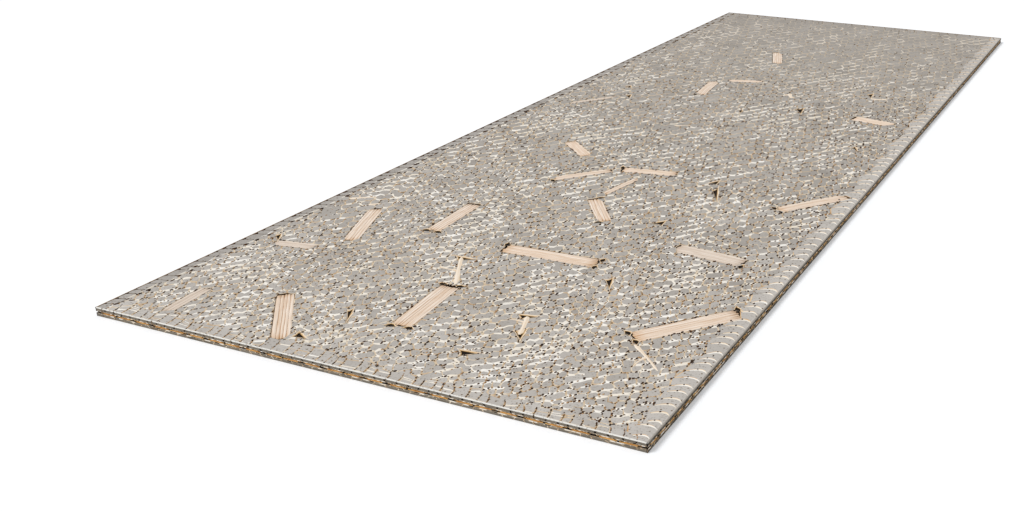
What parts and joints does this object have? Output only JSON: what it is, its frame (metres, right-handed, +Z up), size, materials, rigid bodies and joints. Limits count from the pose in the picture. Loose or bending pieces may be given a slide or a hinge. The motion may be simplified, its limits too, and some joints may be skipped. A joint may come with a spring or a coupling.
{
  "type": "cement-bonded particle board",
  "caption": "Flat rectangular building board of pressed cement and wood particles, with pale wood chips bare in its top face and wood strands along its cut edges.",
  "frame": {"origin": "middle of the underside, on the surface that the board lies on", "axes": "+Y along the board's length, +X across its width, +Z up through its thickness, out of the face with the wood chips"},
  "size_m": [1.25, 3.35, 0.02],
  "materials": {
    "cement": "rough",
    "wood_chip": "sawn",
    "wood_strand": "sawn"
  },
  "bodies": {
    "root": {"cement_board": "cement", "wood_chip_01": "wood_chip", "wood_chip_02": "wood_chip", "wood_chip_03": "wood_chip", "wood_chip_04": "wood_chip", "wood_chip_05": "wood_chip", "wood_chip_06": "wood_chip", "wood_chip_07": "wood_chip", "wood_chip_08": "wood_chip", "wood_chip_09": "wood_chip", "wood_chip_10": "wood_chip", "wood_chip_11": "wood_chip", "wood_chip_12": "wood_chip", "wood_chip_13": "wood_chip", "wood_chip_14": "wood_chip", "wood_chip_15": "wood_chip", "wood_chip_16": "wood_chip", "wood_chip_17": "wood_chip", "wood_chip_18": "wood_chip", "wood_chip_19": "wood_chip", "wood_chip_20": "wood_chip", "strands_front_edge": "wood_strand", "strands_back_edge": "wood_strand", "strands_left_edge": "wood_strand", "strands_right_edge": "wood_strand"}
  },
  "joints": []
}
